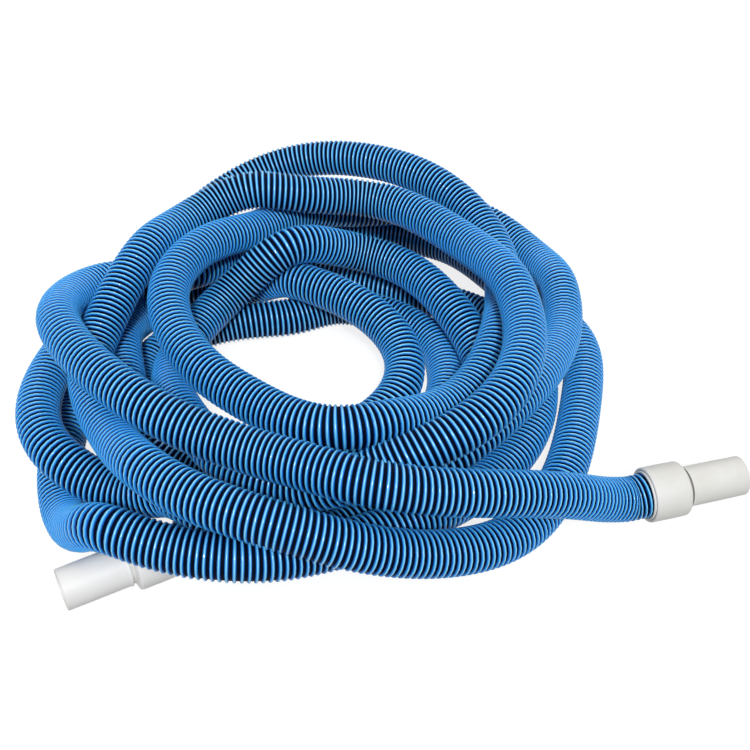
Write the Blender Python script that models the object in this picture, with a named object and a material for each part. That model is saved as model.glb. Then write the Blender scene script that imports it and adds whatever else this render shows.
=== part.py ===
"""A swimming-pool vacuum hose laid down in eight loose turns, with a plain cuff on one end
and a swivel cuff on the other. Metres, +Z up, standing on z = 0."""

import math

import bmesh
import bpy
import numpy as np

# Driving dimensions. The hose and its cuffs are sized from these.
HOSE_DIAMETER = 0.048
NOZZLE_BORE = 0.0382
NOZZLE_WALL = 0.0026
NOZZLE_TAPER = 0.0004
COLLAR_WALL = 0.00145
COLLAR_LENGTH = 0.040
SHOULDER_LENGTH = 0.004
CUFF_LENGTH = 0.112
EDGE = 0.0015

# Fits. Every round fit between two pieces is one of these.
HOSE_FIT = 0.00035
SWIVEL_FIT = 0.00035
END_FIT = 0.0005

# The swivel: a sleeve on the hose whose flange turns in a pocket inside the cuff.
HOSE_INSERTION = 0.036
SLEEVE_WALL = 0.0019
SLEEVE_PROUD = 0.002
FLANGE_WIDTH = 0.0033
FLANGE_HEIGHT = 0.00145
SLEEVE_EDGE = 0.0007

# What follows from these: each round goes over the one before it.
SOCKET_DIAMETER = HOSE_DIAMETER + 2 * HOSE_FIT
LIP_DIAMETER = SOCKET_DIAMETER + 2 * (SLEEVE_WALL + SWIVEL_FIT)
POCKET_DIAMETER = LIP_DIAMETER + 2 * FLANGE_HEIGHT
COLLAR_DIAMETER = POCKET_DIAMETER + 2 * COLLAR_WALL

# Where things lie. The turns are laid round COIL_MIDDLE.
COIL_MIDDLE = (-0.0502, -0.0185)
SWIVEL_MOUTH = (0.2588, -0.3019)
FIXED_MOUTH = (-0.2339, -0.2413)
FIXED_HEADING = math.radians(193.6)
SWIVEL_LEAD = 0.012
FIXED_LEAD = 0.040
AXIS_HEIGHT = COLLAR_DIAMETER / 2

# Laying the hose. Each pair is how far out the hose lies and how high its middle is, at spokes
# SPOKE apart, clockwise from FIRST_SPOKE. A row is one turn, in the order the hose was laid.
SPOKE = math.radians(20)
FIRST_SPOKE = math.radians(-60)
TURNS = (
    # down from the swivel cuff, over everything in front, then low across the back
    (0.345, 0.085), (0.300, 0.120), (0.250, 0.130), (0.225, 0.130), (0.230, 0.145), (0.235, 0.150),
    (0.255, 0.150), (0.260, 0.130), (0.245, 0.100), (0.195, 0.090), (0.235, 0.075), (0.280, 0.060),
    (0.320, 0.040), (0.340, 0.035), (0.325, 0.025), (0.350, 0.025), (0.330, 0.025), (0.330, 0.025),
    # up over the front, and round the back as the second highest strand
    (0.340, 0.030), (0.330, 0.060), (0.315, 0.100), (0.295, 0.120), (0.265, 0.100), (0.245, 0.105),
    (0.235, 0.100), (0.210, 0.130), (0.210, 0.135), (0.220, 0.135), (0.235, 0.145), (0.210, 0.150),
    (0.250, 0.135), (0.245, 0.135), (0.235, 0.135), (0.240, 0.145), (0.250, 0.145), (0.265, 0.145),
    # in under the front, then a small turn through the middle
    (0.270, 0.135), (0.250, 0.115), (0.230, 0.075), (0.205, 0.070), (0.175, 0.075), (0.160, 0.075),
    (0.150, 0.060), (0.140, 0.065), (0.135, 0.070), (0.140, 0.070), (0.140, 0.090), (0.135, 0.115),
    (0.185, 0.090), (0.200, 0.085), (0.195, 0.080), (0.200, 0.070), (0.220, 0.050), (0.220, 0.030),
    # along the floor in front, out to the far left bend, and up to the back
    (0.220, 0.025), (0.235, 0.025), (0.250, 0.025), (0.280, 0.060), (0.280, 0.055), (0.305, 0.075),
    (0.290, 0.080), (0.265, 0.075), (0.265, 0.065), (0.290, 0.060), (0.345, 0.075), (0.365, 0.115),
    (0.350, 0.130), (0.325, 0.125), (0.295, 0.100), (0.250, 0.095), (0.225, 0.100), (0.215, 0.090),
    # the turn that frames the open middle, then out to the right edge
    (0.200, 0.095), (0.205, 0.115), (0.185, 0.120), (0.145, 0.120), (0.140, 0.125), (0.135, 0.125),
    (0.135, 0.130), (0.150, 0.135), (0.160, 0.140), (0.175, 0.135), (0.195, 0.120), (0.250, 0.110),
    (0.295, 0.085), (0.365, 0.075), (0.360, 0.060), (0.330, 0.065), (0.290, 0.080), (0.265, 0.095),
    # under the others in front, and low across the back
    (0.250, 0.090), (0.220, 0.065), (0.175, 0.065), (0.170, 0.030), (0.195, 0.030), (0.210, 0.065),
    (0.200, 0.070), (0.215, 0.075), (0.220, 0.055), (0.230, 0.065), (0.265, 0.030), (0.230, 0.025),
    (0.210, 0.025), (0.220, 0.025), (0.250, 0.025), (0.280, 0.025), (0.280, 0.025), (0.275, 0.025),
    # the lowest strand along the front, then a small turn inside
    (0.265, 0.030), (0.275, 0.050), (0.290, 0.055), (0.320, 0.075), (0.325, 0.035), (0.305, 0.035),
    (0.270, 0.025), (0.275, 0.025), (0.300, 0.025), (0.265, 0.025), (0.195, 0.030), (0.135, 0.070),
    (0.120, 0.070), (0.110, 0.075), (0.110, 0.070), (0.120, 0.060), (0.125, 0.055), (0.125, 0.045),
    # the smallest turn, on the floor, and out under the front to the plain cuff
    (0.120, 0.040), (0.115, 0.035), (0.120, 0.025), (0.120, 0.025), (0.140, 0.025), (0.175, 0.025),
    (0.175, 0.025), (0.200, 0.025), (0.185, 0.025), (0.155, 0.025), (0.130, 0.035), (0.135, 0.035),
    (0.160, 0.030), (0.160, 0.025), (0.175, 0.025), (0.180, 0.025), (0.175, 0.025), (0.170, 0.025),
    (0.170, 0.025), (0.180, 0.025), (0.200, 0.025),
)

# Settling the hose, so that turns rest on each other and don't pass through.
LINE_SPACING = 0.014
TURN_GAP = 0.0015
TURNS_APART = HOSE_DIAMETER + TURN_GAP
FLOOR_HEIGHT = HOSE_DIAMETER / 2 + 0.0003
SETTLING_ROUNDS = 260
HOLD = 0.01
STRAIGHT_POINTS = 5
CUFF_POINTS = 12
COLLAR_CLEARANCE = COLLAR_DIAMETER / 2 + HOSE_DIAMETER / 2 + TURN_GAP
SAME_STRETCH = 0.110
NEARBY = 0.030

ROUND_SIDES = 48
TUBE_RESOLUTION = 3


def clear_scene():
    for obj in list(bpy.data.objects):
        bpy.data.objects.remove(obj, do_unlink=True)


def material(name, colour, roughness):
    made = bpy.data.materials.new(name)
    made.use_nodes = True
    shader = made.node_tree.nodes["Principled BSDF"]
    shader.inputs["Base Color"].default_value = (*colour, 1.0)
    shader.inputs["Roughness"].default_value = roughness
    return made


def heading_vector(heading):
    return np.array([math.cos(heading), math.sin(heading), 0.0])


def laid_points():
    """The hose from inside the swivel cuff, round the spokes, to inside the plain cuff."""
    swivel_mouth = np.array([*SWIVEL_MOUTH, AXIS_HEIGHT])
    fixed_mouth = np.array([*FIXED_MOUTH, AXIS_HEIGHT])
    outward = heading_vector(0.0)
    points = [swivel_mouth + outward * reach for reach in (HOSE_INSERTION, 0.0, -SWIVEL_LEAD)]
    for index, (radius, height) in enumerate(TURNS):
        spoke = FIRST_SPOKE - index * SPOKE
        x = COIL_MIDDLE[0] + radius * math.cos(spoke)
        y = COIL_MIDDLE[1] + radius * math.sin(spoke)
        points.append(np.array([x, y, height]))
    outward = heading_vector(FIXED_HEADING)
    points += [fixed_mouth + outward * reach for reach in (-FIXED_LEAD, 0.0, HOSE_INSERTION)]
    return np.array(points)


def smooth_line(points, spacing):
    """A natural cubic through the points, read at even steps along its length."""
    gaps = np.sqrt(np.linalg.norm(np.diff(points, axis=0), axis=1))
    count = len(points)
    system = np.eye(count)
    pull = np.zeros((count, 3))
    for i in range(1, count - 1):
        system[i, i - 1 : i + 2] = (gaps[i - 1], 2 * (gaps[i - 1] + gaps[i]), gaps[i])
        ahead = (points[i + 1] - points[i]) / gaps[i]
        behind = (points[i] - points[i - 1]) / gaps[i - 1]
        pull[i] = 6 * (ahead - behind)
    bend = np.linalg.solve(system, pull)
    fine = []
    for i, gap in enumerate(gaps):
        t = np.linspace(0, gap, 24, endpoint=False)[:, None]
        curve = (bend[i] * (gap - t) ** 3 + bend[i + 1] * t**3) / (6 * gap)
        curve += (points[i] / gap - bend[i] * gap / 6) * (gap - t)
        curve += (points[i + 1] / gap - bend[i + 1] * gap / 6) * t
        fine.append(curve)
    fine = np.concatenate(fine + [points[-1:]])
    along = np.concatenate([[0], np.cumsum(np.linalg.norm(np.diff(fine, axis=0), axis=1))])
    steps = np.linspace(0, along[-1], 2 * int(round(along[-1] / spacing / 2)) + 1)
    return np.stack([np.interp(steps, along, fine[:, axis]) for axis in range(3)], 1)


def evened(line):
    """How far each point is from an even bend."""
    bow = np.zeros_like(line)
    bow[1:-1] = (line[:-2] + line[2:]) / 2 - line[1:-1]
    change = np.zeros_like(line)
    change[2:-2] = (bow[1:-3] + bow[3:-1]) / 2 - bow[2:-2]
    return change


def pushed_apart(line, first, second):
    """Moves each pair of points that is too close apart, by a share of what is missing."""
    between = line[first] - line[second]
    distance = np.linalg.norm(between, axis=1)
    close = distance < TURNS_APART
    first, second, between, distance = first[close], second[close], between[close], distance[close]
    push = between * ((TURNS_APART - distance) / distance * 0.35)[:, None]
    moved = np.zeros_like(line)
    count = np.zeros(len(line))
    np.add.at(moved, first, push)
    np.add.at(moved, second, -push)
    np.add.at(count, first, 1)
    np.add.at(count, second, 1)
    return line + moved / np.maximum(count, 1)[:, None] * 1.6


def lifted_off_cuff(line, mouth, heading):
    """Moves the hose off the collar of a cuff, all but the stretch that runs into it."""
    start = np.array([*mouth, AXIS_HEIGHT])
    direction = heading_vector(heading)
    reach = np.clip((line - start) @ direction, 0.0, COLLAR_LENGTH + SHOULDER_LENGTH)
    from_axis = line - start - reach[:, None] * direction
    distance = np.linalg.norm(from_axis, axis=1)
    touching = distance < COLLAR_CLEARANCE
    touching[:CUFF_POINTS] = False
    touching[-CUFF_POINTS:] = False
    away = from_axis[touching] / distance[touching][:, None]
    line[touching] += away * (COLLAR_CLEARANCE - distance[touching])[:, None]
    return line


def settled(laid):
    """Lets the laid line settle: even bends, no turn through another, nothing below the floor."""
    line = laid.copy()
    skip = int(math.ceil(SAME_STRETCH / LINE_SPACING))
    every_first, every_second = np.triu_indices(len(line), skip)
    for step in range(SETTLING_ROUNDS):
        if step % 20 == 0:
            distance = np.linalg.norm(line[every_first] - line[every_second], axis=1)
            near = distance < TURNS_APART + NEARBY
            first, second = every_first[near], every_second[near]
        line += (laid - line) * HOLD
        for _ in range(3):
            line -= evened(line) * 0.42
        for _ in range(3):
            line = pushed_apart(line, first, second)
            line = lifted_off_cuff(line, FIXED_MOUTH, FIXED_HEADING)
            line[:, 2] = np.maximum(line[:, 2], FLOOR_HEIGHT)
        line[:STRAIGHT_POINTS] = laid[:STRAIGHT_POINTS]
        line[-STRAIGHT_POINTS:] = laid[-STRAIGHT_POINTS:]
    return line


def straight_ends(line):
    """Puts the points at each end exactly on the axis of the cuff there."""
    outward = (heading_vector(0.0), heading_vector(FIXED_HEADING))
    mouths = (SWIVEL_MOUTH, FIXED_MOUTH)
    steps = (range(STRAIGHT_POINTS), range(-1, -STRAIGHT_POINTS - 1, -1))
    for direction, mouth, picked in zip(outward, mouths, steps):
        end = np.array([*mouth, AXIS_HEIGHT]) + direction * HOSE_INSERTION
        for count, index in enumerate(picked):
            line[index] = end - direction * count * LINE_SPACING
    return line


def hose_tube(name, line, surface):
    """The hose's outer shape: a plain closed tube along every second point of the line."""
    points = line[::2]
    curve = bpy.data.curves.new(name, "CURVE")
    curve.dimensions = "3D"
    curve.bevel_depth = HOSE_DIAMETER / 2
    curve.bevel_resolution = TUBE_RESOLUTION
    curve.use_fill_caps = True
    spline = curve.splines.new("POLY")
    spline.points.add(len(points) - 1)
    for target, point in zip(spline.points, points):
        target.co = (*point, 1.0)
    curve.materials.append(surface)
    obj = bpy.data.objects.new(name, curve)
    bpy.context.collection.objects.link(obj)
    return obj


def turned(name, outline, mouth, heading, surface):
    """Turns a closed outline of (distance from the mouth, radius) round a level axis."""
    mesh = bmesh.new()
    along = heading_vector(heading)
    across = heading_vector(heading + math.pi / 2)
    start = np.array([*mouth, AXIS_HEIGHT])
    rings = []
    for side in range(ROUND_SIDES):
        angle = math.tau * side / ROUND_SIDES
        outward = across * math.cos(angle) + np.array([0.0, 0.0, math.sin(angle)])
        ring = [mesh.verts.new(start + along * reach + outward * radius) for reach, radius in outline]
        rings.append(ring)
    for side, ring in enumerate(rings):
        following = rings[(side + 1) % ROUND_SIDES]
        for i in range(len(outline)):
            j = (i + 1) % len(outline)
            mesh.faces.new((ring[i], ring[j], following[j], following[i]))
    bmesh.ops.recalc_face_normals(mesh, faces=mesh.faces)
    data = bpy.data.meshes.new(name)
    mesh.to_mesh(data)
    mesh.free()
    data.materials.append(surface)
    obj = bpy.data.objects.new(name, data)
    bpy.context.collection.objects.link(obj)
    return obj


def cuff_outside():
    """The outside of a cuff from its mouth to its tip: collar, shoulder, tapered nozzle."""
    collar = COLLAR_DIAMETER / 2
    nozzle = NOZZLE_BORE / 2 + NOZZLE_WALL
    shoulder_end = COLLAR_LENGTH + SHOULDER_LENGTH
    return [
        (0.0, collar - EDGE),
        (EDGE * 0.3, collar - EDGE * 0.3),
        (EDGE, collar),
        (COLLAR_LENGTH, collar),
        (COLLAR_LENGTH + SHOULDER_LENGTH * 0.45, collar - EDGE),
        (shoulder_end, nozzle),
        (CUFF_LENGTH - EDGE * 0.4, nozzle - NOZZLE_TAPER),
        (CUFF_LENGTH, nozzle - NOZZLE_TAPER - EDGE * 0.2),
        (CUFF_LENGTH, NOZZLE_BORE / 2),
    ]


def fixed_cuff(surface):
    """One moulding: the hose is screwed and glued into its socket."""
    socket = SOCKET_DIAMETER / 2
    seat = HOSE_INSERTION + END_FIT
    inside = [(seat, NOZZLE_BORE / 2), (seat, socket), (0.0, socket)]
    return turned("fixed_cuff", cuff_outside() + inside, FIXED_MOUTH, FIXED_HEADING, surface)


def swivel_sleeve(surface):
    """The sleeve on the hose. Its rim shows at the mouth and its flange keeps the cuff on."""
    inner = SOCKET_DIAMETER / 2
    outer = inner + SLEEVE_WALL
    end = HOSE_INSERTION + END_FIT
    outline = [
        (-SLEEVE_PROUD, inner),
        (-SLEEVE_PROUD, outer - SLEEVE_EDGE),
        (-SLEEVE_PROUD + SLEEVE_EDGE, outer),
        (end - FLANGE_WIDTH, outer),
        (end - FLANGE_WIDTH, outer + FLANGE_HEIGHT),
        (end, outer + FLANGE_HEIGHT),
        (end, inner),
    ]
    return turned("swivel_sleeve", outline, SWIVEL_MOUTH, 0.0, surface)


def swivel_cuff(surface):
    """The cuff that turns on the sleeve: a long lip, then a pocket round the sleeve's flange."""
    lip = LIP_DIAMETER / 2
    pocket = POCKET_DIAMETER / 2
    flange_end = HOSE_INSERTION + END_FIT
    inside = [
        (flange_end + END_FIT, NOZZLE_BORE / 2),
        (flange_end + END_FIT, pocket),
        (flange_end - FLANGE_WIDTH - END_FIT, pocket),
        (flange_end - FLANGE_WIDTH - END_FIT, lip),
        (0.0, lip),
    ]
    return turned("swivel_cuff", cuff_outside() + inside, SWIVEL_MOUTH, 0.0, surface)


def build():
    clear_scene()
    blue = material("hose_blue", (0.03, 0.20, 0.62), 0.45)
    white = material("sleeve_white", (0.80, 0.80, 0.79), 0.5)
    cuff_white = material("cuff_white", (0.84, 0.84, 0.83), 0.45)
    line = straight_ends(settled(straight_ends(smooth_line(laid_points(), LINE_SPACING))))
    hose_tube("hose", line, blue)
    swivel_sleeve(white)
    swivel_cuff(cuff_white)
    fixed_cuff(cuff_white)
    length = np.linalg.norm(np.diff(line, axis=0), axis=1).sum()
    print("hose", round(float(length), 3), "m, points", len(line))


build()
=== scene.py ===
# %% [markdown]
# # A swimming-pool vacuum hose, laid in loose turns
#
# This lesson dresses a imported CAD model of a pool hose. The model says where each piece is and
# what turns. Here each piece gets its real surface: a dark wall, the blue rib that is wound
# round it, and two moulded cuffs. Everything is in metres, in the same frame as the CAD.

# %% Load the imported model
import math

import bmesh
import bpy
import numpy as np
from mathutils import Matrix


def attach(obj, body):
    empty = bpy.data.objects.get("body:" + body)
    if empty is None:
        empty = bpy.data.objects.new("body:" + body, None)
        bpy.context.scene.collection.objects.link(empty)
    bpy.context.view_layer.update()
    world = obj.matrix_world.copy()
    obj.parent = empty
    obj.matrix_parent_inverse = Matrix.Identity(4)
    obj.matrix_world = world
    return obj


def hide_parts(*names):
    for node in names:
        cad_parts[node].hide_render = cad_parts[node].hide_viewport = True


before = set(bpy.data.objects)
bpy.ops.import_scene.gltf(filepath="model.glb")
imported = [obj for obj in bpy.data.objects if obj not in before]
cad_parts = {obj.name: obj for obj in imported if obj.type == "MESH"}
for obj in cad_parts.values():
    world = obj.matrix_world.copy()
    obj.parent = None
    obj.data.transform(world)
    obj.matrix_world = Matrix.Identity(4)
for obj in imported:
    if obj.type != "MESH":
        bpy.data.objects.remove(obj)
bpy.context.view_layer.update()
print("CAD nodes:", sorted(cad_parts))

# %% [markdown]
# ## Sizes
#
# The cuffs and the hose are sized by the same driving dimensions as the CAD, so that a piece
# made here fits its neighbours. The rib adds three numbers of its own: how far apart its turns
# are, how wide it is and how far it stands out. The hose could be one smooth tube with painted
# stripes, but its outline would then be smooth too, and the real one is notched.

# %% Name the sizes
HOSE_DIAMETER = 0.048
WALL_RADIUS = 0.0217
HOSE_BORE = 0.0192
RIB_PITCH = 0.0064
RIB_PITCH_AT_CUFF = 0.0052
RIB_SQUEEZED_LENGTH = 0.22
RIB_SHARE = 0.53
RIB_SIDES = 20
RIB_PIECES = 8

NOZZLE_BORE = 0.0382
NOZZLE_WALL = 0.0026
NOZZLE_TAPER = 0.0004
COLLAR_DIAMETER = 0.059
COLLAR_LENGTH = 0.040
SHOULDER_END = COLLAR_LENGTH + 0.004
GROOVE_DEPTH = 0.0015
GROOVE_REACH = 0.0018
RING_HEIGHT = 0.0005
CUFF_LENGTH = 0.112

HOSE_FIT = 0.00035
SWIVEL_FIT = 0.00035
END_FIT = 0.0005
HOSE_INSERTION = 0.036
SLEEVE_WALL = 0.0019
SLEEVE_PROUD = 0.002
FLANGE_WIDTH = 0.0033
FLANGE_HEIGHT = 0.00145

COIL_MIDDLE = (-0.0502, -0.0185)
SWIVEL_MOUTH = (0.2588, -0.3019)
FIXED_MOUTH = (-0.2339, -0.2413)
FIXED_HEADING = math.radians(193.6)
SWIVEL_LEAD = 0.012
FIXED_LEAD = 0.040
AXIS_HEIGHT = COLLAR_DIAMETER / 2
print("hose", HOSE_DIAMETER, "m across, cuffs", CUFF_LENGTH, "m long")

# %% [markdown]
# ## The camera and the floor
#
# The camera looks down at 40 degrees from the front left. It comes first, because a coil that
# looks right from the side can still hide the wrong turns from here. A lens of about 53 mm keeps
# the near turns from looking much larger than the far ones. Moving a wide lens closer would fill
# the frame too, but it would stretch the cuff that lies nearest to it.

# %% Place the camera
CAMERA_PLACE = (-0.2304, -1.0061, 0.874)
CAMERA_DOWN = math.radians(40)
CAMERA_TURN = math.radians(-15.37)
CAMERA_LENS = 52.8

camera_data = bpy.data.cameras.new("camera")
camera_data.lens = CAMERA_LENS
camera_data.sensor_width = 36
camera_data.clip_start = 0.01
camera = bpy.data.objects.new("camera", camera_data)
camera.location = CAMERA_PLACE
camera.rotation_euler = (math.pi / 2 - CAMERA_DOWN, 0, CAMERA_TURN)
bpy.context.scene.collection.objects.link(camera)
bpy.context.scene.camera = camera
print("camera at", CAMERA_PLACE)

# %% [markdown]
# ## The route of the hose
#
# The hose was laid by hand, turn on turn. Each turn is written as spokes round the middle of
# the coil: how far out the hose lies and how high its middle is. This is how one would measure
# a real coil with a tape. A spline through so few points would pass through its neighbours, so
# the line is then left to settle, as a stiff hose does.

# %% Write down the turns
SPOKE = math.radians(20)
FIRST_SPOKE = math.radians(-60)
TURNS = (
    # down from the swivel cuff, over everything in front, then low across the back
    (0.345, 0.085), (0.300, 0.120), (0.250, 0.130), (0.225, 0.130), (0.230, 0.145), (0.235, 0.150),
    (0.255, 0.150), (0.260, 0.130), (0.245, 0.100), (0.195, 0.090), (0.235, 0.075), (0.280, 0.060),
    (0.320, 0.040), (0.340, 0.035), (0.325, 0.025), (0.350, 0.025), (0.330, 0.025), (0.330, 0.025),
    # up over the front, and round the back as the second highest strand
    (0.340, 0.030), (0.330, 0.060), (0.315, 0.100), (0.295, 0.120), (0.265, 0.100), (0.245, 0.105),
    (0.235, 0.100), (0.210, 0.130), (0.210, 0.135), (0.220, 0.135), (0.235, 0.145), (0.210, 0.150),
    (0.250, 0.135), (0.245, 0.135), (0.235, 0.135), (0.240, 0.145), (0.250, 0.145), (0.265, 0.145),
    # in under the front, then a small turn through the middle
    (0.270, 0.135), (0.250, 0.115), (0.230, 0.075), (0.205, 0.070), (0.175, 0.075), (0.160, 0.075),
    (0.150, 0.060), (0.140, 0.065), (0.135, 0.070), (0.140, 0.070), (0.140, 0.090), (0.135, 0.115),
    (0.185, 0.090), (0.200, 0.085), (0.195, 0.080), (0.200, 0.070), (0.220, 0.050), (0.220, 0.030),
    # along the floor in front, out to the far left bend, and up to the back
    (0.220, 0.025), (0.235, 0.025), (0.250, 0.025), (0.280, 0.060), (0.280, 0.055), (0.305, 0.075),
    (0.290, 0.080), (0.265, 0.075), (0.265, 0.065), (0.290, 0.060), (0.345, 0.075), (0.365, 0.115),
    (0.350, 0.130), (0.325, 0.125), (0.295, 0.100), (0.250, 0.095), (0.225, 0.100), (0.215, 0.090),
    # the turn that frames the open middle, then out to the right edge
    (0.200, 0.095), (0.205, 0.115), (0.185, 0.120), (0.145, 0.120), (0.140, 0.125), (0.135, 0.125),
    (0.135, 0.130), (0.150, 0.135), (0.160, 0.140), (0.175, 0.135), (0.195, 0.120), (0.250, 0.110),
    (0.295, 0.085), (0.365, 0.075), (0.360, 0.060), (0.330, 0.065), (0.290, 0.080), (0.265, 0.095),
    # under the others in front, and low across the back
    (0.250, 0.090), (0.220, 0.065), (0.175, 0.065), (0.170, 0.030), (0.195, 0.030), (0.210, 0.065),
    (0.200, 0.070), (0.215, 0.075), (0.220, 0.055), (0.230, 0.065), (0.265, 0.030), (0.230, 0.025),
    (0.210, 0.025), (0.220, 0.025), (0.250, 0.025), (0.280, 0.025), (0.280, 0.025), (0.275, 0.025),
    # the lowest strand along the front, then a small turn inside
    (0.265, 0.030), (0.275, 0.050), (0.290, 0.055), (0.320, 0.075), (0.325, 0.035), (0.305, 0.035),
    (0.270, 0.025), (0.275, 0.025), (0.300, 0.025), (0.265, 0.025), (0.195, 0.030), (0.135, 0.070),
    (0.120, 0.070), (0.110, 0.075), (0.110, 0.070), (0.120, 0.060), (0.125, 0.055), (0.125, 0.045),
    # the smallest turn, on the floor, and out under the front to the plain cuff
    (0.120, 0.040), (0.115, 0.035), (0.120, 0.025), (0.120, 0.025), (0.140, 0.025), (0.175, 0.025),
    (0.175, 0.025), (0.200, 0.025), (0.185, 0.025), (0.155, 0.025), (0.130, 0.035), (0.135, 0.035),
    (0.160, 0.030), (0.160, 0.025), (0.175, 0.025), (0.180, 0.025), (0.175, 0.025), (0.170, 0.025),
    (0.170, 0.025), (0.180, 0.025), (0.200, 0.025),
)

print("turns:", round(len(TURNS) * SPOKE / math.tau, 1), "with", len(TURNS), "spokes")

# %% Say how the hose settles
LINE_SPACING = 0.014
TURN_GAP = 0.0015
TURNS_APART = HOSE_DIAMETER + TURN_GAP
FLOOR_GAP = 0.0003
FLOOR_HEIGHT = HOSE_DIAMETER / 2 + FLOOR_GAP
COLLAR_CLEARANCE = COLLAR_DIAMETER / 2 + HOSE_DIAMETER / 2 + TURN_GAP
SAME_STRETCH = 0.110
NEARBY = 0.030
SETTLING_ROUNDS = 260
HOLD = 0.01
EVENING = 0.42
PUSH = 0.35
OVERSHOOT = 1.6
STRAIGHT_POINTS = 5
CUFF_POINTS = 12
print("turns are kept", TURNS_APART, "m apart, in", SETTLING_ROUNDS, "rounds")

# %% [markdown]
# ## Settling
#
# Each round of settling does four small things: it pulls the line a little towards where it was
# laid, evens its bends, pushes apart any two points that are closer than one hose width, and
# lifts what is below the floor. After a few hundred rounds the turns rest on each other.

# %% Lay the hose and let it settle
def heading_vector(heading):
    return np.array([math.cos(heading), math.sin(heading), 0.0])


def laid_points():
    """The hose from inside the swivel cuff, round the spokes, to inside the plain cuff."""
    swivel_mouth = np.array([*SWIVEL_MOUTH, AXIS_HEIGHT])
    fixed_mouth = np.array([*FIXED_MOUTH, AXIS_HEIGHT])
    outward = heading_vector(0.0)
    points = [swivel_mouth + outward * reach for reach in (HOSE_INSERTION, 0.0, -SWIVEL_LEAD)]
    for index, (radius, height) in enumerate(TURNS):
        spoke = FIRST_SPOKE - index * SPOKE
        x = COIL_MIDDLE[0] + radius * math.cos(spoke)
        y = COIL_MIDDLE[1] + radius * math.sin(spoke)
        points.append(np.array([x, y, height]))
    outward = heading_vector(FIXED_HEADING)
    points += [fixed_mouth + outward * reach for reach in (-FIXED_LEAD, 0.0, HOSE_INSERTION)]
    return np.array(points)


def along_line(line):
    """How far along the line each of its points is."""
    steps = np.linalg.norm(np.diff(line, axis=0), axis=1)
    return np.concatenate([[0], np.cumsum(steps)])


def smooth_line(points, spacing):
    """A natural cubic through the points, read at even steps along its length."""
    gaps = np.sqrt(np.linalg.norm(np.diff(points, axis=0), axis=1))
    count = len(points)
    system = np.eye(count)
    pull = np.zeros((count, 3))
    for i in range(1, count - 1):
        system[i, i - 1 : i + 2] = (gaps[i - 1], 2 * (gaps[i - 1] + gaps[i]), gaps[i])
        ahead = (points[i + 1] - points[i]) / gaps[i]
        behind = (points[i] - points[i - 1]) / gaps[i - 1]
        pull[i] = 6 * (ahead - behind)
    bend = np.linalg.solve(system, pull)
    fine = []
    for i, gap in enumerate(gaps):
        t = np.linspace(0, gap, 24, endpoint=False)[:, None]
        curve = (bend[i] * (gap - t) ** 3 + bend[i + 1] * t**3) / (6 * gap)
        curve += (points[i] / gap - bend[i] * gap / 6) * (gap - t)
        curve += (points[i + 1] / gap - bend[i + 1] * gap / 6) * t
        fine.append(curve)
    fine = np.concatenate(fine + [points[-1:]])
    along = along_line(fine)
    steps = np.linspace(0, along[-1], 2 * int(round(along[-1] / spacing / 2)) + 1)
    return np.stack([np.interp(steps, along, fine[:, axis]) for axis in range(3)], 1)


def evened(line):
    """How far each point is from an even bend."""
    bow = np.zeros_like(line)
    bow[1:-1] = (line[:-2] + line[2:]) / 2 - line[1:-1]
    change = np.zeros_like(line)
    change[2:-2] = (bow[1:-3] + bow[3:-1]) / 2 - bow[2:-2]
    return change


def pushed_apart(line, first, second):
    """Moves each pair of points that is too close apart, by a share of what is missing."""
    between = line[first] - line[second]
    distance = np.linalg.norm(between, axis=1)
    close = distance < TURNS_APART
    first, second, between, distance = first[close], second[close], between[close], distance[close]
    push = between * ((TURNS_APART - distance) / distance * PUSH)[:, None]
    moved = np.zeros_like(line)
    count = np.zeros(len(line))
    np.add.at(moved, first, push)
    np.add.at(moved, second, -push)
    np.add.at(count, first, 1)
    np.add.at(count, second, 1)
    return line + moved / np.maximum(count, 1)[:, None] * OVERSHOOT


def lifted_off_cuff(line, mouth, heading):
    """Moves the hose off the collar of a cuff, all but the stretch that runs into it."""
    start = np.array([*mouth, AXIS_HEIGHT])
    direction = heading_vector(heading)
    reach = np.clip((line - start) @ direction, 0.0, SHOULDER_END)
    from_axis = line - start - reach[:, None] * direction
    distance = np.linalg.norm(from_axis, axis=1)
    touching = distance < COLLAR_CLEARANCE
    touching[:CUFF_POINTS] = False
    touching[-CUFF_POINTS:] = False
    away = from_axis[touching] / distance[touching][:, None]
    line[touching] += away * (COLLAR_CLEARANCE - distance[touching])[:, None]
    return line


def settled(laid):
    """Lets the laid line settle: even bends, no turn through another, nothing below the floor."""
    line = laid.copy()
    skip = int(math.ceil(SAME_STRETCH / LINE_SPACING))
    every_first, every_second = np.triu_indices(len(line), skip)
    for step in range(SETTLING_ROUNDS):
        if step % 20 == 0:
            distance = np.linalg.norm(line[every_first] - line[every_second], axis=1)
            near = distance < TURNS_APART + NEARBY
            first, second = every_first[near], every_second[near]
        line += (laid - line) * HOLD
        for _ in range(3):
            line -= evened(line) * EVENING
        for _ in range(3):
            line = pushed_apart(line, first, second)
            line = lifted_off_cuff(line, FIXED_MOUTH, FIXED_HEADING)
            line[:, 2] = np.maximum(line[:, 2], FLOOR_HEIGHT)
        line[:STRAIGHT_POINTS] = laid[:STRAIGHT_POINTS]
        line[-STRAIGHT_POINTS:] = laid[-STRAIGHT_POINTS:]
    return line


def straight_ends(line):
    """Puts the points at each end exactly on the axis of the cuff there."""
    outward = (heading_vector(0.0), heading_vector(FIXED_HEADING))
    mouths = (SWIVEL_MOUTH, FIXED_MOUTH)
    steps = (range(STRAIGHT_POINTS), range(-1, -STRAIGHT_POINTS - 1, -1))
    for direction, mouth, picked in zip(outward, mouths, steps):
        end = np.array([*mouth, AXIS_HEIGHT]) + direction * HOSE_INSERTION
        for count, index in enumerate(picked):
            line[index] = end - direction * count * LINE_SPACING
    return line


laid_line = straight_ends(smooth_line(laid_points(), LINE_SPACING))
hose_line = straight_ends(settled(laid_line))

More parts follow.
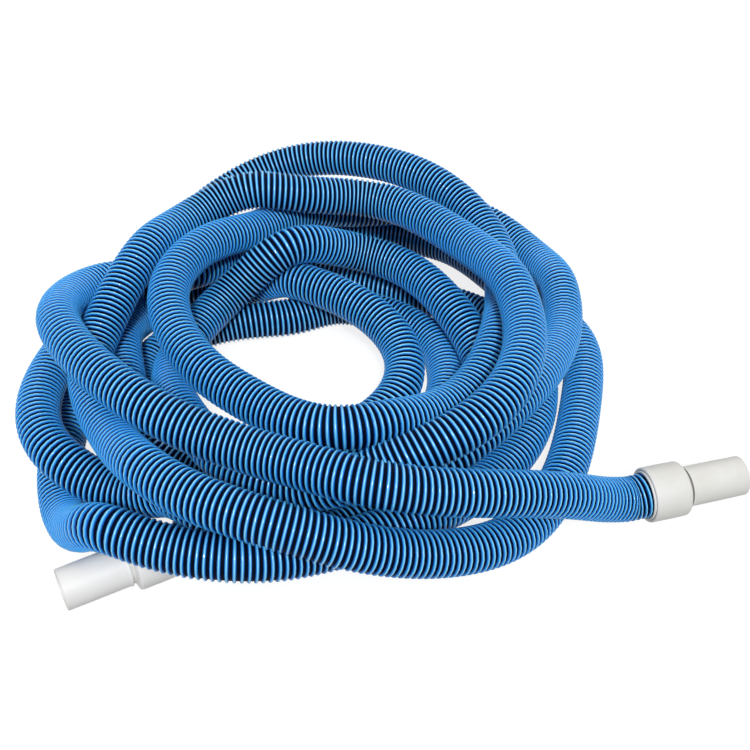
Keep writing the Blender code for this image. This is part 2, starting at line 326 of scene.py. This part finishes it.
# %% [markdown]
# ## A skin from a grid
#
# Every new piece in this lesson is one idea: a flat grid of faces whose points are moved to
# where the surface is. Closed in one direction it is a tube, closed in both it is a ring. The
# seam where the grid meets itself is merged, so that each piece is one closed body. A tube could
# also come from a curve with a bevel, but a grid gives its points known places, and those carry
# the colours.


# %% Make the grid tool
def skin(name, places, attributes=None, ring=False):
    """A grid moved to places[row, column]. Columns always close; rows close when ring is True."""
    rows, columns = places.shape[:2]
    spans = rows if ring else rows - 1
    grid = bmesh.new()
    bmesh.ops.create_grid(grid, x_segments=spans, y_segments=columns, size=1.0)
    mesh = bpy.data.meshes.new(name)
    grid.to_mesh(mesh)
    grid.free()
    flat = np.empty(len(mesh.vertices) * 3, np.float32)
    mesh.vertices.foreach_get("co", flat)
    flat = flat.reshape(-1, 3)
    row = np.rint((flat[:, 0] + 1) / 2 * spans).astype(int) % rows
    column = np.rint((flat[:, 1] + 1) / 2 * columns).astype(int) % columns
    mesh.vertices.foreach_set("co", places[row, column].astype(np.float32).ravel())
    for label, values in (attributes or {}).items():
        layer = mesh.attributes.new(label, "FLOAT", "POINT")
        layer.data.foreach_set("value", values[row, column].astype(np.float32).ravel())
    closed = bmesh.new()
    closed.from_mesh(mesh)
    bmesh.ops.remove_doubles(closed, verts=closed.verts, dist=1e-6)
    if not ring:
        edges = [edge for edge in closed.edges if edge.is_boundary]
        bmesh.ops.holes_fill(closed, edges=edges, sides=0)
    bmesh.ops.recalc_face_normals(closed, faces=closed.faces)
    closed.to_mesh(mesh)
    closed.free()
    mesh.shade_smooth()
    mesh.set_sharp_from_angle(angle=math.radians(50))
    obj = bpy.data.objects.new(name, mesh)
    bpy.context.scene.collection.objects.link(obj)
    return obj


# %% [markdown]
# ## Directions along the hose
#
# To wrap anything round a bent line, each place on the line needs two directions across it. The
# pair is carried along without twisting, because a pair that flips over would tear the wall.


# %% Carry a pair of directions along the hose
COURSE_SPACING = 0.0015


class Course:
    """A smooth line with two directions across it, read at any distance along."""

    def __init__(self, line):
        self.points = smooth_line(line, COURSE_SPACING)
        self.along = along_line(self.points)
        forward = np.gradient(self.points, axis=0)
        self.forward = forward / np.linalg.norm(forward, axis=1)[:, None]
        side = np.cross(self.forward[0], (0.0, 0.0, 1.0))
        sides = []
        for direction in self.forward:
            side = side - direction * (side @ direction)
            side = side / np.linalg.norm(side)
            sides.append(side)
        self.side = np.array(sides)
        self.length = self.along[-1]

    def read(self, table, distance):
        return np.stack([np.interp(distance, self.along, table[:, axis]) for axis in range(3)], -1)

    def place(self, distance, angle, radius):
        """Points at these distances along, angles round and radii out from the line."""
        middle = self.read(self.points, distance)
        forward = self.read(self.forward, distance)
        side = self.read(self.side, distance)
        up = np.cross(forward, side)
        outward = side * np.cos(angle)[..., None] + up * np.sin(angle)[..., None]
        return middle + outward * radius[..., None]


course = Course(hose_line)
print("course has", len(course.points), "points")

# %% [markdown]
# ## The wall
#
# The wall is what shows between the ribs: a thin dark tube, open at both ends, so that the eye
# can look into it through a nozzle. The outer and the inner surface are one closed ring of grid.
# One surface with a Solidify modifier would look the same, but here the wall has its real
# thickness from the start, and its ends are closed by the same faces.

# %% Build the wall
WALL_COLUMNS = 26
ROWS_OUTSIDE = 1100
ROWS_INSIDE = 420


def wall_places():
    """Rows go out along the outside of the wall and come back along the inside."""
    out = np.linspace(0.0, course.length, ROWS_OUTSIDE)
    back = np.linspace(course.length, 0.0, ROWS_INSIDE)
    distance = np.concatenate([out, back])
    radius = np.concatenate([np.full(len(out), WALL_RADIUS), np.full(len(back), HOSE_BORE)])
    angle = np.linspace(0, math.tau, WALL_COLUMNS, endpoint=False)
    shape = (len(distance), WALL_COLUMNS)
    distance = np.broadcast_to(distance[:, None], shape)
    radius = np.broadcast_to(radius[:, None], shape)
    return course.place(distance, np.broadcast_to(angle, shape), radius)


hose_wall = skin("hose_wall", wall_places(), ring=True)
print("wall faces:", len(hose_wall.data.polygons))

# %% [markdown]
# ## The rib
#
# The rib is one bead wound round the wall from end to end, about two thousand turns of it. Near
# the swivel cuff the hose is pushed together, so the turns come closer there. The bead's section
# is a small arch with its feet sunk in the wall. A bump map would be lighter, but the outline
# would stay smooth, and an array of rings on a curve can't change its pitch along the way. It is
# made in several lengths, because one mesh of it all is slow to edit.

# %% Wind the rib
ARCH = (
    (-0.50, -0.0006), (-0.45, 0.0009), (-0.32, 0.0017), (-0.16, 0.0022), (0.0, 0.0023),
    (0.16, 0.0022), (0.32, 0.0017), (0.45, 0.0009), (0.50, -0.0006),
)


def rib_turn_places():
    """How far along the hose each whole turn of the rib starts."""
    starts = [0.0]
    while starts[-1] < course.length:
        eased = min(1.0, starts[-1] / RIB_SQUEEZED_LENGTH)
        eased = eased * eased * (3 - 2 * eased)
        starts.append(starts[-1] + RIB_PITCH_AT_CUFF + (RIB_PITCH - RIB_PITCH_AT_CUFF) * eased)
    return np.array(starts[:-1])


def rib_length(name, starts, first, last):
    """One length of the rib, from one turn to another."""
    turn = np.linspace(first, last, (last - first) * RIB_SIDES + 1)
    middle = np.interp(turn, np.arange(len(starts)), starts)
    pitch = np.interp(turn, np.arange(len(starts)), np.gradient(starts))
    across = np.array([share for share, _ in ARCH]) * RIB_SHARE
    height = np.array([rise for _, rise in ARCH])
    distance = middle[:, None] + across * pitch[:, None]
    angle = np.broadcast_to((turn * math.tau)[:, None], distance.shape)
    radius = np.broadcast_to(WALL_RADIUS + height, distance.shape)
    crest = np.broadcast_to(1 - abs(across) / max(across), distance.shape)
    return skin(name, course.place(distance, angle, radius), {"crest": crest})


rib_starts = rib_turn_places()
rib_ends = np.linspace(0, len(rib_starts) - 1, RIB_PIECES + 1).astype(int)
ribs = []
for number, (first, last) in enumerate(zip(rib_ends, rib_ends[1:]), 1):
    ribs.append(rib_length(f"hose_rib_{number}", rib_starts, first, last))
print("rib turns:", len(rib_starts), "faces:", sum(len(rib.data.polygons) for rib in ribs))

# %% [markdown]
# ## The cuffs
#
# Each cuff is a turned shape: an outline of distances from the mouth and radii, carried round
# the axis. Moulded plastic has no knife edges, so every corner of the outline is rounded before
# it is turned. A bevel modifier could round them too, but the outline keeps each radius known.
#
# The plain cuff is fast on the hose. The other one turns: a sleeve sits on the hose, and its
# flange runs in a pocket inside the cuff. The sleeve's lip shows at the cuff's mouth, so it is
# a piece of its own and not a line painted on the cuff.


# %% Make the turning tool
def rounded(outline, steps=4):
    """Rounds each corner (distance, radius, rounding) of a closed outline."""
    done = []
    for index, (reach, radius, rounding) in enumerate(outline):
        corner = np.array([reach, radius])
        before = np.array(outline[index - 1][:2])
        after = np.array(outline[(index + 1) % len(outline)][:2])
        if rounding == 0:
            done.append(corner)
            continue
        back = (before - corner) / np.linalg.norm(before - corner)
        on = (after - corner) / np.linalg.norm(after - corner)
        for share in np.linspace(0, 1, steps + 1):
            arc = back * rounding * (1 - share) ** 2 + on * rounding * share**2
            done.append(corner + arc)
    return np.array(done)


def turned(name, outline, mouth, heading, sides=96):
    """Turns a closed outline round a level axis that starts at a cuff's mouth."""
    outline = rounded(outline)
    angle = np.linspace(0, math.tau, sides, endpoint=False)
    along = heading_vector(heading)
    across = heading_vector(heading + math.pi / 2)
    start = np.array([*mouth, AXIS_HEIGHT])
    outward = across * np.cos(angle)[:, None] + np.array([0.0, 0.0, 1.0]) * np.sin(angle)[:, None]
    places = start + outline[:, 0][:, None, None] * along + outline[:, 1][:, None, None] * outward
    reach = np.broadcast_to(outline[:, 0][:, None], places.shape[:2])
    return skin(name, places, {"reach": reach}, ring=True)


# %% Turn the cuffs and the sleeve
def cuff_outside():
    """The outside of a cuff: rolled mouth, collar, shoulder with a groove, tapered nozzle."""
    collar = COLLAR_DIAMETER / 2
    nozzle = NOZZLE_BORE / 2 + NOZZLE_WALL
    end = SHOULDER_END
    foot = end + GROOVE_REACH
    return [
        (0.0, collar - 0.0002, 0.0016),
        (COLLAR_LENGTH * 0.5, collar, 0.0),
        (COLLAR_LENGTH + 0.0004, collar - 0.0002, 0.0022),
        (end - 0.0020, nozzle + 0.0018, 0.0010),
        (end - 0.0014, nozzle - GROOVE_DEPTH, 0.0003),
        (foot, nozzle - GROOVE_DEPTH, 0.0003),
        (foot + 0.0004, nozzle + RING_HEIGHT, 0.0004),
        (foot + 0.0024, nozzle + RING_HEIGHT, 0.0005),
        (foot + 0.0032, nozzle - 0.0001, 0.0004),
        (CUFF_LENGTH, nozzle - NOZZLE_TAPER, 0.0009),
        (CUFF_LENGTH, NOZZLE_BORE / 2, 0.0006),
    ]


socket = HOSE_DIAMETER / 2 + HOSE_FIT
seat = HOSE_INSERTION + END_FIT
lip = socket + SLEEVE_WALL + SWIVEL_FIT
pocket = lip + FLANGE_HEIGHT

fixed_inside = [(seat, NOZZLE_BORE / 2, 0.0005), (seat, socket, 0.0), (0.0, socket, 0.0012)]
fixed_cuff = turned("fixed_cuff_moulding", cuff_outside() + fixed_inside, FIXED_MOUTH, FIXED_HEADING)

swivel_inside = [
    (seat + END_FIT, NOZZLE_BORE / 2, 0.0005),
    (seat + END_FIT, pocket, 0.0),
    (seat - FLANGE_WIDTH - END_FIT, pocket, 0.0),
    (seat - FLANGE_WIDTH - END_FIT, lip, 0.0),
    (0.0, lip, 0.0008),
]
swivel_cuff = turned("swivel_cuff_moulding", cuff_outside() + swivel_inside, SWIVEL_MOUTH, 0.0)

sleeve_outline = [
    (-SLEEVE_PROUD, socket, 0.0006),
    (-SLEEVE_PROUD, socket + SLEEVE_WALL, 0.0008),
    (seat - FLANGE_WIDTH, socket + SLEEVE_WALL, 0.0),
    (seat - FLANGE_WIDTH, socket + SLEEVE_WALL + FLANGE_HEIGHT, 0.0003),
    (seat, socket + SLEEVE_WALL + FLANGE_HEIGHT, 0.0003),
    (seat, socket, 0.0),
]
swivel_sleeve = turned("swivel_sleeve_moulding", sleeve_outline, SWIVEL_MOUTH, 0.0)
print("cuff faces:", len(fixed_cuff.data.polygons), len(swivel_cuff.data.polygons))

# %% [markdown]
# ## Shader maths that reads like maths
#
# A material in Blender is a graph of nodes. This small class stands for one output of a node, so
# that a sum of two outputs is written as a sum. One method makes any other node.


# %% Make the wire class
class Wire:
    """One output socket of a shader node."""

    def __init__(self, tree, socket):
        self.tree = tree
        self.socket = socket

    def node(self, kind, output=0, settings=None, **inputs):
        """Makes any node, sets its settings, joins or sets its inputs, and gives one output."""
        made = self.tree.nodes.new(kind)
        for key, value in (settings or {}).items():
            setattr(made, key, value)
        for key, value in inputs.items():
            numbered = key[0] == "i" and key[1:].isdigit()
            slot = made.inputs[int(key[1:]) if numbered else key]
            if isinstance(value, Wire):
                self.tree.links.new(value.socket, slot)
            else:
                slot.default_value = value
        return Wire(self.tree, made.outputs[output])

    def maths(self, operation, first, second):
        return self.node("ShaderNodeMath", 0, {"operation": operation}, i0=first, i1=second)

    def __add__(self, other):
        return self.maths("ADD", self, other)

    __radd__ = __add__

    def __mul__(self, other):
        return self.maths("MULTIPLY", self, other)

    def __rsub__(self, other):
        return self.maths("SUBTRACT", other, self)

    def between(self, low, high):
        """0 below low, 1 above high, and smooth between them."""
        settings = {"interpolation_type": "SMOOTHSTEP"}
        return self.node("ShaderNodeMapRange", 0, settings, Value=self, i1=low, i2=high)

    def mixed(self, first, second):
        """One colour where this is 0 and another where it is 1."""
        return self.node("ShaderNodeMix", 2, {"data_type": "RGBA"}, i0=self, i6=first, i7=second)


def new_material(name):
    """A material, its shader, and a wire to start from: the object's own coordinates."""
    made = bpy.data.materials.new(name)
    made.use_nodes = True
    tree = made.node_tree
    shader = tree.nodes["Principled BSDF"]
    start = Wire(tree, shader.outputs[0])
    place = start.node("ShaderNodeTexCoord", "Object")
    return made, shader, place


def noise(place, scale, detail=2.0):
    return place.node("ShaderNodeTexNoise", 0, None, Vector=place, Scale=scale, Detail=detail)


def painted(place, name):
    """A number that the mesh itself carries, point by point."""
    return place.node("ShaderNodeAttribute", "Fac", {"attribute_name": name})


def bumped(height, strength, distance):
    return height.node("ShaderNodeBump", 0, None, Height=height, Strength=strength, Distance=distance)


def feed(shader, **inputs):
    for key, value in inputs.items():
        slot = shader.inputs[key.replace("_", " ")]
        if isinstance(value, Wire):
            value.tree.links.new(value.socket, slot)
        else:
            slot.default_value = value


# %% [markdown]
# ## The plastics
#
# The rib is bright blue. A paler line along its crest is a painted highlight, and the crest also
# has a glossy coat; its feet are painted a darker blue, as painted shade on its flanks. The crest is
# painted by an attribute that the rib's own grid carries, so the line follows every turn. The wall
# is nearly black, with a little dust. The cuffs are off-white, with the faint ripple and the
# slightly yellow tone that moulded plastic has, and a dark line of painted shade in the groove by
# the shoulder. The fixed one has a whiter tone and a fainter painted shade in its groove.

# %% Mix the blue of the rib
def rib_plastic():
    made, shader, place = new_material("rib_plastic")
    crest = painted(place, "crest")
    cloud = noise(place, 7.0).between(0.35, 0.7)
    body = cloud.mixed((0.014, 0.280, 0.87, 1), (0.022, 0.315, 0.92, 1))
    crest_highlight = cloud.mixed((0.155, 0.640, 0.96, 1), (0.200, 0.690, 0.97, 1))
    # painted shade: the rib's feet and low flanks are a dark blue, as if they lay in shade
    colour = crest.between(0.02, 0.30).mixed((0.002, 0.050, 0.30, 1), body)
    # painted highlight: a paler, whiter blue along the crest, where a highlight would lie
    colour = crest.between(0.40, 0.80).mixed(colour, crest_highlight)
    feed(shader, Base_Color=colour, Roughness=0.42 + noise(place, 60.0) * 0.14, Specular_IOR_Level=0.25)
    feed(shader, Coat_Weight=crest.between(0.5, 0.9), Coat_Roughness=0.07, Coat_IOR=1.8)
    feed(shader, Normal=bumped(noise(place, 900.0, 3.0), 0.06, 0.0002))
    return made


# %% Mix the near-black of the wall
def wall_plastic():
    made, shader, place = new_material("wall_plastic")
    dust = noise(place, 140.0, 4.0).between(0.55, 0.8)
    colour = dust.mixed((0.0002, 0.0015, 0.011, 1), (0.0008, 0.0040, 0.020, 1))
    feed(shader, Base_Color=colour, Roughness=0.7 + dust * 0.2)
    feed(shader, Specular_IOR_Level=0.05)
    feed(shader, Normal=bumped(noise(place, 700.0), 0.1, 0.0002))
    return made


# %% Mix the off-white of the cuffs
def cuff_plastic(name, light, shade, groove_shade):
    made, shader, place = new_material(name)
    cloud = noise(place, 26.0, 3.0)
    colour = cloud.between(0.3, 0.75).mixed(shade, light)
    specks = noise(place, 420.0, 2.0)
    colour = specks.between(0.68, 0.76).mixed(colour, (0.70, 0.69, 0.65, 1))
    reach = painted(place, "reach")
    # painted shade: a dark band of colour in the groove by the shoulder, where shade falls
    past = reach.between(SHOULDER_END + GROOVE_REACH, SHOULDER_END + GROOVE_REACH + 0.0006)
    in_groove = reach.between(SHOULDER_END - 0.0020, SHOULDER_END - 0.0010) * (1 - past)
    colour = in_groove.mixed(colour, (groove_shade, groove_shade, groove_shade * 0.96, 1))
    ripple = noise(place, 160.0, 2.0) * 0.6 + specks * 0.4
    feed(shader, Base_Color=colour, Roughness=0.38 + cloud * 0.16)
    feed(shader, Normal=bumped(ripple, 0.10, 0.0006))
    return made


# %% Put the plastics on
blue = rib_plastic()
for rib in ribs:
    rib.data.materials.append(blue)
hose_wall.data.materials.append(wall_plastic())
# the last number of each row is the grey of the painted shade in the groove
cuff_tones = (
    (swivel_cuff, (0.79, 0.79, 0.775, 1), (0.74, 0.735, 0.70, 1), 0.22),
    (fixed_cuff, (0.89, 0.89, 0.885, 1), (0.86, 0.86, 0.85, 1), 0.70),
    (swivel_sleeve, (0.76, 0.76, 0.74, 1), (0.71, 0.705, 0.67, 1), 0.60),
)
for piece, light, shade, groove_shade in cuff_tones:
    piece.data.materials.append(cuff_plastic(piece.name + "_plastic", light, shade, groove_shade))
print("materials:", len(bpy.data.materials))

# %% [markdown]
# ## Join each piece to the model
#
# Each piece rides on a CAD body, and the CAD pieces that the new ones stand for are hidden.

# %% Join the pieces to the model
for piece in (hose_wall, *ribs, swivel_sleeve, fixed_cuff):
    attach(piece, "laid_hose")
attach(swivel_cuff, "swivel")
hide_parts("hose")
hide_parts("swivel_sleeve")
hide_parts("swivel_cuff")
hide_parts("fixed_cuff")
print("pieces:", 4 + len(ribs))

# %% [markdown]
# ## Light
#
# Three suns light the coil. A wide one from behind the camera shows every colour about as it is
# written. A narrow one beside it draws the thin bright line along the top of each strand, and a
# weak one from behind lifts the far sides. Area lamps would do as well, but a sun is equally
# strong everywhere, so a coil this wide has no dim end. The room adds a soft even light, and the
# floor glows only for what is seen straight: its shadows stay, but it doesn't light the coil
# from below.


# %% Make a wire for what the eye sees
def seen_directly(start):
    """1 for what is seen straight, in a gloss or through glass, and 0 for light that lights."""
    path = start.node("ShaderNodeLightPath", "Is Camera Ray")
    glossy = Wire(path.tree, path.socket.node.outputs["Is Glossy Ray"])
    through = Wire(path.tree, path.socket.node.outputs["Is Transmission Ray"])
    return path.maths("MAXIMUM", path, glossy.maths("MAXIMUM", glossy, through))


# %% Build the floor
def floor_surface():
    """Pale paper that looks white, while its shadows stay."""
    made, shader, place = new_material("floor_paper")
    glow = seen_directly(place).mixed((0, 0, 0, 1), (0.83, 0.83, 0.83, 1))
    feed(shader, Base_Color=(0.28, 0.28, 0.28, 1), Roughness=0.9, Specular_IOR_Level=0.0)
    feed(shader, Emission_Color=glow, Emission_Strength=1.0)
    return made


floor_grid = bmesh.new()
bmesh.ops.create_grid(floor_grid, x_segments=1, y_segments=1, size=12.0)
floor_mesh = bpy.data.meshes.new("floor")
floor_grid.to_mesh(floor_mesh)
floor_grid.free()
floor = bpy.data.objects.new("floor", floor_mesh)
bpy.context.scene.collection.objects.link(floor)
floor.data.materials.append(floor_surface())
print("floor:", floor.name)


# %% Hang the lights
def hang(name, kind, place, settings):
    """A light at a place, turned to the middle of the coil."""
    data = bpy.data.lights.new(name, kind)
    for key, value in settings.items():
        setattr(data, key, value)
    light = bpy.data.objects.new(name, data)
    light.location = place
    away = np.array(place) - np.array([0.0, 0.0, 0.05])
    flat = math.hypot(away[0], away[1])
    light.rotation_euler = (math.atan2(flat, away[2]), 0, math.atan2(away[1], away[0]) + math.pi / 2)
    bpy.context.scene.collection.objects.link(light)


hang("even", "SUN", (-0.25, -1.05, 1.3), {"angle": math.radians(22), "energy": 1.15})
hang("spark", "SUN", (-0.20, -1.00, 1.05), {"angle": math.radians(4), "energy": 1.2})
warm = (1.0, 0.96, 0.86)
hang("behind", "SUN", (0.35, 0.90, 1.30), {"angle": math.radians(45), "energy": 0.65, "color": warm})
print("suns:", len(bpy.data.lights))

# %% Fill the room with light
world = bpy.data.worlds.new("studio")
bpy.context.scene.world = world
world.use_nodes = True
background = world.node_tree.nodes["Background"]
room = 0.26 + seen_directly(Wire(world.node_tree, background.outputs[0])) * 0.74
world.node_tree.links.new(room.socket, background.inputs["Strength"])
background.inputs["Color"].default_value = (1, 1, 1, 1)
bpy.context.scene.view_settings.view_transform = "Standard"
print("lights:", [light.name for light in bpy.data.lights])
